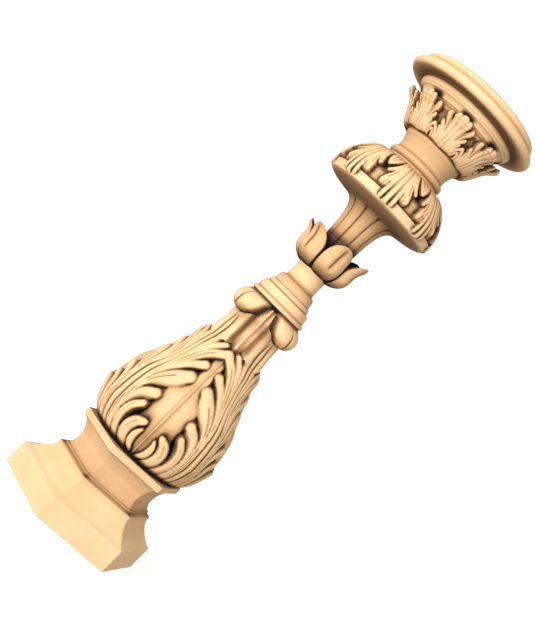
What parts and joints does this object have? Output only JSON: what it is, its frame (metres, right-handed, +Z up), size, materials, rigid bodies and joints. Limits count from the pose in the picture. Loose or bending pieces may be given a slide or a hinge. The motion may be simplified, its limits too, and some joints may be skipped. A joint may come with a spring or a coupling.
{
  "type": "stone baluster",
  "caption": "Carved stone baluster with a hexagonal plinth, leafed bulb, ringed collar, tulip, fluted stem, leafed canopy, cup and round cap.",
  "frame": {"origin": "middle of the flat underside of the plinth", "axes": "+Z up along the axis of the baluster, -Y towards the front leaf of the body"},
  "size_m": [0.226, 0.226, 0.8],
  "materials": {
    "stone": "fine rubbed buff limestone, matte"
  },
  "bodies": {
    "root": {"baluster": "stone"}
  },
  "joints": []
}
